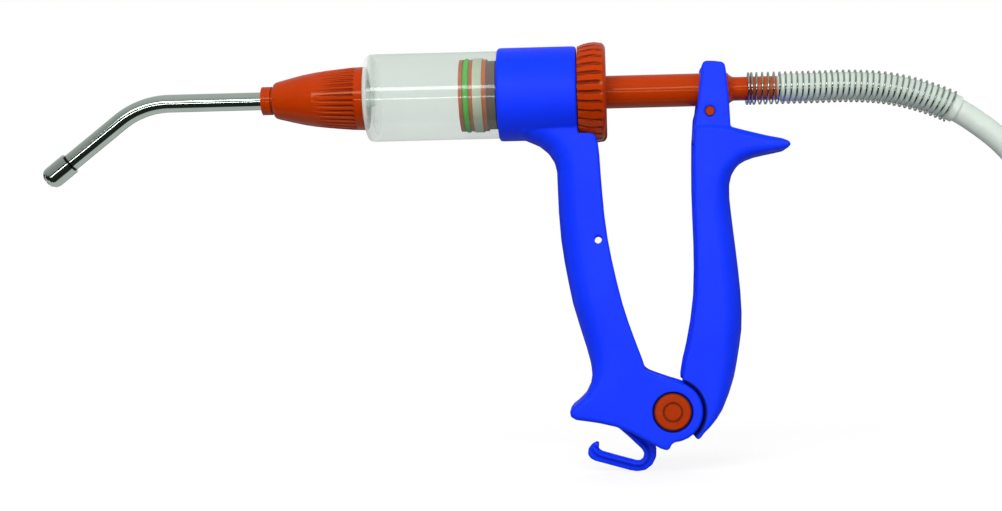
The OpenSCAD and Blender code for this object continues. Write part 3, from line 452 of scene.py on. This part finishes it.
def milkyFinish(name, s):
    mat, n, link, bsdf = newMaterial(name)
    plain = clouded(n, link, noiseAt(n, link, *s["cloud"]), s["dark"], s["light"])
    bsdf.inputs["Roughness"].default_value = s["rough"]
    bsdf.inputs["Specular IOR Level"].default_value = 0.0
    away = vectorNode(n, link, "LENGTH", fromPoint(n, link, spot(0, 0, 0), (0, 1, 1)))
    skin = mapped(n, link, away, s["outerAt"], (0.0, 1.0))
    # The end wall: its denser milk is the wall's real thickness, and its far paler colour is
    # painted light for the light that would pass through it.
    end = mapped(n, link, axesOf(n, link)["X"], s["endAt"], (1.0, 0.0))
    link.new(mixed(n, link, "RGBA", end, plain, s["end"]), bsdf.inputs["Base Color"])
    rim = n.new("ShaderNodeLayerWeight")    # the wall looks thicker where it turns away
    rim.inputs["Blend"].default_value = s["edgeBlend"]
    dense = mapped(n, link, rim.outputs["Facing"], s["edgeAt"], (s["outer"], s["edge"]))
    milk = mathNode(n, link, "MULTIPLY", skin, dense)    # it lies in the skin and the end wall
    endMilk = mathNode(n, link, "MULTIPLY", end, s["endWall"])
    link.new(mathNode(n, link, "MAXIMUM", milk, endMilk), bsdf.inputs["Alpha"])
    side = n.new("ShaderNodeNewGeometry")    # only the outside shines
    outside = mathNode(n, link, "SUBTRACT", skin, side.outputs["Backfacing"])
    shiny = mathNode(n, link, "MULTIPLY", mathNode(n, link, "MAXIMUM", outside), s["gloss"])
    shine = n.new("ShaderNodeBsdfGlossy")
    shine.inputs["Roughness"].default_value = s["glossRough"]
    both = n.new("ShaderNodeMixShader")
    for socket, source in zip(both.inputs, (shiny, bsdf.outputs[0], shine.outputs[0])):
        link.new(source, socket)
    link.new(both.outputs[0], n["Material Output"].inputs["Surface"])
    return mat


hoseSet = {"pale": (0.56, 0.63, 0.57), "paler": (0.61, 0.68, 0.62), "cloud": (55, 3),
           "rough": (0.2, 0.3), "tail": (0.40, 0.07, 0.008), "tailAt": (0.0802, 0.0812),
           "scatter": 0.15, "scatterDepth": 0.002}


def hoseFinish(name, s):
    mat, n, link, bsdf = newMaterial(name)
    cloud = noiseAt(n, link, *s["cloud"])
    plain = clouded(n, link, cloud, s["pale"], s["paler"])
    # the rod's barbs colour the hose end that covers them
    tail = mapped(n, link, axesOf(n, link)["X"], s["tailAt"], (1.0, 0.0), "LINEAR")
    link.new(mixed(n, link, "RGBA", tail, plain, s["tail"]), bsdf.inputs["Base Color"])
    link.new(ranged(n, link, cloud, *s["rough"]), bsdf.inputs["Roughness"])
    bsdf.inputs["Subsurface Weight"].default_value = s["scatter"]
    bsdf.inputs["Subsurface Scale"].default_value = s["scatterDepth"]
    return mat


# the hub colour is painted shade, the dark it shows in the shadow inside the barrel and housing
pistonSet = {"light": (0.50, 0.046, 0.002), "paintedHubShade": (0.13, 0.001, 0.032),
             "paintedHubShadeAt": (-0.0406, -0.0402), "cloud": (300, 3), "rough": (0.3, 0.45), "spec": 0.2}


def pistonFinish(name, s):
    mat, n, link, bsdf = newMaterial(name)
    paintedHubShade = mapped(n, link, axesOf(n, link)["X"], s["paintedHubShadeAt"], (0.0, 1.0))    # painted shade darkens the hub
    link.new(mixed(n, link, "RGBA", paintedHubShade, s["light"], s["paintedHubShade"]), bsdf.inputs["Base Color"])
    cloud = noiseAt(n, link, *s["cloud"])
    link.new(ranged(n, link, cloud, *s["rough"]), bsdf.inputs["Roughness"])
    bsdf.inputs["Specular IOR Level"].default_value = s["spec"]
    return mat


milkyPlastic = milkyFinish("milkyPlastic", milkySet)
paleHose = hoseFinish("paleHose", hoseSet)
pistonPlastic = pistonFinish("pistonPlastic", pistonSet)
print("finishes made")


# Helpers for the pieces.

mergeGap = 0.000001    # m


def pick(obj):
    bpy.ops.object.select_all(action="DESELECT")
    obj.select_set(True)
    bpy.context.view_layer.objects.active = obj


def mergeAll(gap):
    bpy.ops.mesh.select_all(action="SELECT")
    bpy.ops.mesh.remove_doubles(threshold=gap)


def tubeAlong(name, points, radius, sides, closed=True):
    curve = bpy.data.curves.new(name, "CURVE")
    curve.dimensions = "3D"
    curve.bevel_depth = radius
    curve.bevel_resolution = max(0, (sides - 4) // 2)    # a bevel has 4 sides and 2 more a step
    curve.use_fill_caps = closed
    line = curve.splines.new("POLY")
    line.points.add(len(points) - 1)
    for p, q in zip(line.points, points):
        p.co = (*q, 1)
    tube = bpy.data.objects.new(name, curve)
    bpy.context.scene.collection.objects.link(tube)
    pick(tube)
    bpy.ops.object.convert(target="MESH")
    tube = bpy.context.object
    bpy.ops.object.mode_set(mode="EDIT")
    mergeAll(mergeGap)
    bpy.ops.mesh.normals_make_consistent(inside=False)
    bpy.ops.object.mode_set(mode="OBJECT")
    return tube


def applyAll(obj):
    pick(obj)
    for m in list(obj.modifiers):
        bpy.ops.object.modifier_apply(modifier=m.name)


def smoothByAngle(obj, degrees):
    pick(obj)
    bpy.ops.object.shade_smooth_by_angle(angle=math.radians(degrees))


def hollow(obj, wall):
    m = obj.modifiers.new("wall", "SOLIDIFY")
    m.thickness, m.offset = wall, -1
    m.use_even_offset = True
    applyAll(obj)


def dress(obj, mat):
    obj.data.materials.clear()
    obj.data.materials.append(mat)


def makePipe(name, points, s):
    pipe = tubeAlong(name, points, s["radius"] / perMetre, s["sides"], closed=False)
    hollow(pipe, s["wall"] / perMetre)
    smoothByAngle(pipe, s["smooth"])
    dress(pipe, paleHose)
    return pipe


def makeWire(name, points, s):
    wire = tubeAlong(name, points, s["wire"] / perMetre, s["sides"])
    smoothByAngle(wire, s["smooth"])
    dress(wire, springSteel)
    return wire


# Hose: one tube from the rod's tail to the end of the stowed hank, in mm.

hoseRoute = [(56, 0, 0), (70.6, 0, 0), (85.3, 0, 0), (100, 0, 0), (114.7, 0, 0), (129.3, 0, -1.2),
             (143.5, 0, -4.6), (157, 0, -10), (168.5, 0, -17.5), (178.5, 0, -26), (187.5, 0, -37),
             (194, -1, -50), (198.5, -4, -64), (201.5, -9, -79), (203.4, -14.4, -93),
             (206, -19, -106), (212.4, -22.7, -120.2), (223.5, -24.5, -132.4), (238, -24.7, -140.2),
             (254.3, -24.7, -142.95), (270, -24.7, -142.95)]
hankSet = {"left": 236, "right": 305, "low": -153.6, "near": -30, "far": 51.4, "strand": 10.65,
           "end": 22, "turnSteps": 24, "rampSteps": 24, "strandSteps": 12, "endSteps": 14}
tubeSet = {"radius": 5.0, "wall": 1.7, "start": 0.16, "cutBack": 1 / 3, "stepsPerPoint": 6,
           "joinSteps": 8, "sides": 24, "smooth": 40,
           "bendStart": (154, 0, -9), "bendEnd": (206, -18, -104)}


def routeAt(u):    # a smooth curve through the route's points
    i = min(max(int(math.floor(u)), 0), len(hoseRoute) - 4)
    t = u - i
    a, b, c, d = (Vector(p) for p in hoseRoute[i:i + 4])
    return b + t / 2 * (c - a + t * (2 * a - 5 * b + 4 * c - d + t * (3 * b - a - 3 * c + d)))


def halfTurn(x, y0, y1, z, side, steps):
    c, r = (y0 + y1) / 2, (y0 - y1) / 2
    angles = [math.pi * i / steps for i in range(steps + 1)]
    return [Vector((x + side * abs(r) * math.sin(a), c + r * math.cos(a), z)) for a in angles]


def hankPoints(h):
    top, inner = h["near"] + h["strand"] / 2, h["near"] + h["strand"]
    farIn, farOut = h["far"] - h["strand"], h["far"]
    upper, low = h["low"] + h["strand"], h["low"]
    right, left, last = h["right"], h["left"], h["rampSteps"]
    ramp = [Vector((right + (left - right) * t, farIn, upper + (low - upper) * t * t * (3 - 2 * t)))
            for t in (i / last for i in range(1, last))]
    points = halfTurn(right, top, farIn, upper, 1, h["turnSteps"]) + ramp
    turns = ((left, farIn, inner, -1), (right, inner, farOut, 1), (left, farOut, h["near"], -1))
    for x, y0, y1, side in turns:
        run = halfTurn(x, y0, y1, low, side, h["turnSteps"])
        for k in range(1, h["strandSteps"]):    # straight strand between two turns
            points.append(points[-1].lerp(run[0], 1 / (h["strandSteps"] + 1 - k)))
        points += run
    end = Vector((right + h["end"], h["near"], low))
    start = points[-1].copy()
    return points + [start.lerp(end, k / h["endSteps"]) for k in range(1, h["endSteps"] + 1)]


def hosePoints(t, h):
    span = len(hoseRoute) - 3 - t["cutBack"] - t["start"]
    count = int(span * t["stepsPerPoint"])
    route = [routeAt(t["start"] + span * i / count) for i in range(count + 1)]
    hank = hankPoints(h)
    join = [route[-1].lerp(hank[0], k / t["joinSteps"]) for k in range(1, t["joinSteps"])]
    return route + join + hank


def makeHose(t, h):
    path = [spot(*p) for p in hosePoints(t, h)]
    hose = makePipe("feedHose", path, t)
    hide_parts("hose", "hose_hank")
    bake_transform(hose)


makeHose(tubeSet, hankSet)
print("hose made")


# Sleeve and wire guard over the hose end. From and to are places on the route.

guardSet = {"wire": 0.4, "coil": 6.5, "tightPitch": 1.35, "tightTurns": 2, "pitch": 2.42,
            "from": 0.02, "to": 6, "steps": 24, "sides": 10, "smooth": 50}
sleeveSet = {"radius": 5.75, "wall": 0.45, "from": 1, "over": 2.42, "steps": 60, "sides": 32,
             "smooth": 40}
routeStep = 14.7    # mm between route points along the guard
routeNear = 0.02    # share of a step for the route's direction


def routeDir(u):
    return (routeAt(u + routeNear) - routeAt(u - routeNear)).normalized()


def makeGuard(g):
    tight = g["tightPitch"] * g["tightTurns"]
    turns = g["tightTurns"] + ((g["to"] - g["from"]) * routeStep - tight) / g["pitch"]
    across = Vector((0, 1, 0))
    points = []
    for i in range(int(turns * g["steps"]) + 1):
        w = i / g["steps"]
        loose = tight + (w - g["tightTurns"]) * g["pitch"]
        u = g["from"] + (w * g["tightPitch"] if w < g["tightTurns"] else loose) / routeStep
        up = across.cross(routeDir(u))
        out = across * math.cos(math.tau * w) + up * math.sin(math.tau * w)
        points.append(spot(*(routeAt(u) + g["coil"] * out)))
    guard = makeWire("wireGuard", points, g)
    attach(guard, "plunger")
    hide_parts("hose_guard")


def makeSleeve(s):
    span = guardSet["to"] + s["over"] / routeStep - s["from"]
    steps = s["steps"]
    points = [spot(*routeAt(s["from"] + span * i / steps)) for i in range(steps + 1)]
    sleeve = makePipe("hoseSleeve", points, s)
    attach(sleeve, "plunger")
    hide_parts("hose_sleeve")


makeGuard(guardSet)
makeSleeve(sleeveSet)
print("guard and sleeve made")


# Springs inside, in mm.

returnSet = {"wire": 0.7, "coil": 5.3, "pitch": 1.95, "turns": 4, "from": 0.1875, "to": 3.3125,
             "startAngle": 190, "pivot": (36.2, -134), "bendReach": 6, "steps": 24, "sides": 10,
             "smooth": 50,
             "front": ((9.6, -113.4), (17, -119.6), (25, -126.5), (31.3, -131.6)),
             "back": ((41.1, -131.6), (46, -124.8), (51.6, -116.5), (56.6, -108.8))}
outletSet = {"name": "outletCoil", "wire": 0.35, "coil": 4.2, "turns": 5, "from": -102.15,
             "to": -111.5, "steps": 24, "sides": 8, "smooth": 50, "body": "frame",
             "node": "outlet_spring", "joint": "outlet_lift", "keep": 0.8}
inletSet = {"name": "inletCoil", "wire": 0.3, "coil": 3.4, "turns": 3, "from": -46.55,
            "to": -43.0, "steps": 24, "sides": 8, "smooth": 50, "body": "plunger",
            "node": "inlet_spring", "joint": "inlet_lift", "keep": 0.59}


def makeReturnSpring(s):
    half = s["pitch"] * s["turns"] / 2
    px, pz = s["pivot"]
    points = [(x, -half, z) for x, z in s["front"]]
    for i in range(int((s["to"] - s["from"]) * s["steps"]) + 1):
        w = s["from"] + i / s["steps"]
        a = math.radians(s["startAngle"] - 360 * w)
        points.append((px + s["coil"] * math.cos(a), -half + s["pitch"] * w,
                       pz + s["coil"] * math.sin(a)))
    points += [(x, half, z) for x, z in s["back"]]
    spring = makeWire("returnSpring", [spot(*p) for p in points], s)
    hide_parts("return_spring")
    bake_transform(spring)


def makeValveSpring(s):
    count = s["steps"] * s["turns"]
    points = []
    for i in range(count + 1):
        a = math.tau * i / s["steps"]
        points.append(spot(s["from"] + (s["to"] - s["from"]) * i / count,
                           s["coil"] * math.cos(a), s["coil"] * math.sin(a)))
    spring = makeWire(s["name"], points, s)
    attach(spring, s["body"])
    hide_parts(s["node"])
    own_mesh(spring)


makeReturnSpring(returnSet)
makeValveSpring(outletSet)
makeValveSpring(inletSet)
print("springs made")


# Bent steel nozzle, in mm. The seam's edges lie along the bent leg.

nozzleSet = {"radius": 3.7, "wall": 1.0, "corner": -183.0, "bend": 38, "bendRadius": 34,
             "reach": 51, "tip": 12, "tipShare": 3, "socketEnd": -117.35, "sides": 48,
             "bendSteps": 24, "smooth": 40}
# painted shade: a dark ring on the tube in the seam at the tip's edge
seamSet = {"edges": (37.9, 38.3, 39.0, 39.2), "paintedShade": (0.02, 0.025, 0.022)}


def seamFinish(name, s, slope):    # painted shade in the seam against the tip's edge
    mat = metal(name, **steelSet)
    n, link = treeOf(mat)
    corner = fromPoint(n, link, spot(nozzleSet["corner"], 0, 0))
    along = vectorNode(n, link, "DOT_PRODUCT", corner, (-math.cos(slope), 0, -math.sin(slope)))
    paintShade(mat, band(n, link, along, [e / perMetre for e in s["edges"]]), s["paintedShade"])
    return mat


def makeNozzle(s):
    slope = math.radians(s["bend"])
    run = s["bendRadius"] * math.tan(slope / 2)
    bendStart = s["corner"] + run
    straight = (bendStart - s["socketEnd"]) / perMetre
    leg = (s["reach"] - s["tip"] / s["tipShare"] - run) / perMetre    # it ends inside the tip
    bpy.ops.object.select_all(action="DESELECT")
    bpy.ops.mesh.primitive_circle_add(vertices=s["sides"], radius=s["radius"] / perMetre,
                                      location=spot(s["socketEnd"], 0, 0),
                                      rotation=(0, quarterTurn, 0))
    nozzle = bpy.context.object
    nozzle.name = "steelNozzle"
    bpy.ops.object.transform_apply(location=True, rotation=True, scale=True)
    bpy.ops.object.mode_set(mode="EDIT")
    bpy.ops.mesh.select_all(action="SELECT")
    bpy.ops.mesh.extrude_region_move(TRANSFORM_OT_translate={"value": (straight, 0, 0)})
    bpy.ops.mesh.spin(steps=s["bendSteps"], angle=slope, axis=(0, 1, 0),
                      center=spot(bendStart, 0, -s["bendRadius"]))
    bpy.ops.mesh.extrude_region_move(
        TRANSFORM_OT_translate={"value": (-leg * math.cos(slope), 0, -leg * math.sin(slope))})
    mergeAll(mergeGap)
    bpy.ops.mesh.normals_make_consistent(inside=False)
    bpy.ops.object.mode_set(mode="OBJECT")
    hollow(nozzle, s["wall"] / perMetre)
    smoothByAngle(nozzle, s["smooth"])
    dress(nozzle, seamFinish("seamSteel", seamSet, slope))
    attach(nozzle, "frame")
    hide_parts("nozzle_tube")


makeNozzle(nozzleSet)
print("nozzle made")


# Moulded handles: soft-edged copies of the solids, in m.

skinSet = {"mergeGap": 0.000002, "voxel": 0.00046, "softness": 0.5, "rounds": 3, "keep": 0.5}
handleSet = {
    "frontGrip": {"node": "front_handle", "body": "frame", "finish": gripPlastic},
    "squeezeLever": {"node": "lever", "body": "lever", "finish": leverPlastic},
}


def copyOf(node, name):
    obj = nodes[node].copy()
    obj.data = nodes[node].data.copy()
    obj.name = name
    obj.parent = None
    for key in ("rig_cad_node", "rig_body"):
        del obj[key]
    bpy.context.scene.collection.objects.link(obj)
    pick(obj)
    bpy.ops.object.mode_set(mode="EDIT")
    bpy.ops.mesh.customdata_custom_splitnormals_clear()
    mergeAll(skinSet["mergeGap"])
    bpy.ops.object.mode_set(mode="OBJECT")
    return obj


def makeHandle(name, s):
    obj = copyOf(s["node"], name)
    skin = obj.modifiers.new("skin", "REMESH")
    skin.mode, skin.voxel_size = "VOXEL", skinSet["voxel"]
    soft = obj.modifiers.new("soft", "SMOOTH")
    soft.factor, soft.iterations = skinSet["softness"], skinSet["rounds"]
    thin = obj.modifiers.new("thin", "DECIMATE")
    thin.ratio = skinSet["keep"]
    applyAll(obj)
    bpy.ops.object.shade_smooth()
    dress(obj, s["finish"])
    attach(obj, s["body"])
    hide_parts(s["node"])
    print(name, len(obj.data.polygons), "faces")


for handleName, handleValues in handleSet.items():
    makeHandle(handleName, handleValues)
print("handles made")


# Finishes of the solids that stay as they are.

solidFinish = {
    "lever_pin": crossPlastic, "pivot_pin": pivotPlastic, "pivot_cap": pivotPlastic,
    "nose_cap": capPlastic, "piston": pistonPlastic, "dose_ring": ringPlastic,
    "plunger_rod": orangePlastic, "barrel": milkyPlastic, "nose_seal": blackRubber,
    "nozzle_tip": polishedSteel, "outlet_valve": whitePlastic, "valve_cage": whitePlastic,
    "inlet_valve": whitePlastic, "dose_stop": whitePlastic, "hose_tie": whitePlastic,
    "piston_o_ring": greenRubber, "guide_ring": creamPlastic,
}
for nodeName, nodeFinish in solidFinish.items():
    nodes[nodeName].data.materials.clear()
    nodes[nodeName].data.materials.append(nodeFinish)
print("solids dressed")
